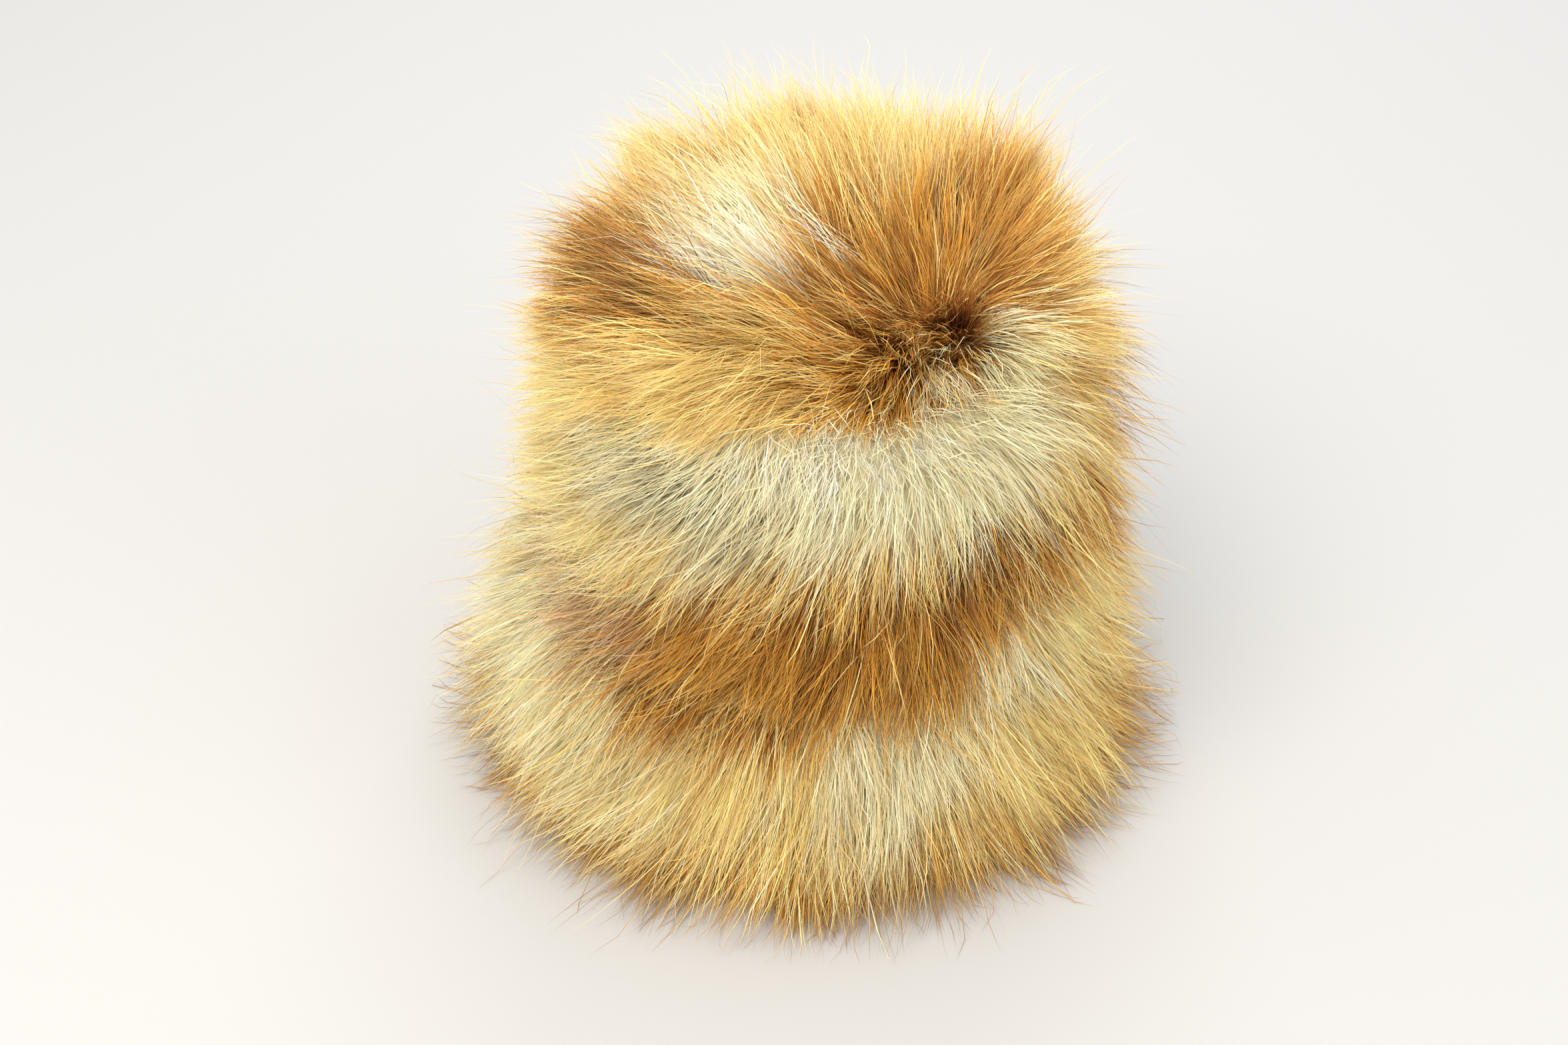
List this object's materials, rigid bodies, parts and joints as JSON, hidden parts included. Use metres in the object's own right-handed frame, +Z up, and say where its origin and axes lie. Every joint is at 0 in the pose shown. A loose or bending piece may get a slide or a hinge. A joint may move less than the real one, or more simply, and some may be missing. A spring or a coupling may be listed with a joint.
{
  "type": "fur hat",
  "caption": "Tall round fur hat with a domed off-centre whorled top, a deep furred crown and a turned-up furred cuff, open below for the head.",
  "frame": {"origin": "centre of the rim on the surface that the hat stands on", "axes": "+Z up through the crown, -Y towards the viewer's side, +X to the viewer's right"},
  "size_m": [0.2971, 0.2981, 0.2538],
  "materials": {
    "crown_leather": "undyed pelt leather",
    "cuff_leather": "undyed pelt leather",
    "tip_fox_fur": "long glossy fur",
    "side_fox_fur": "long glossy fur",
    "cuff_fox_fur": "long glossy fur"
  },
  "bodies": {
    "root": {"crown_wall": "crown_leather", "cuff_band": "cuff_leather", "tip_fur": "tip_fox_fur", "side_fur": "side_fox_fur", "cuff_fur": "cuff_fox_fur"}
  },
  "joints": []
}
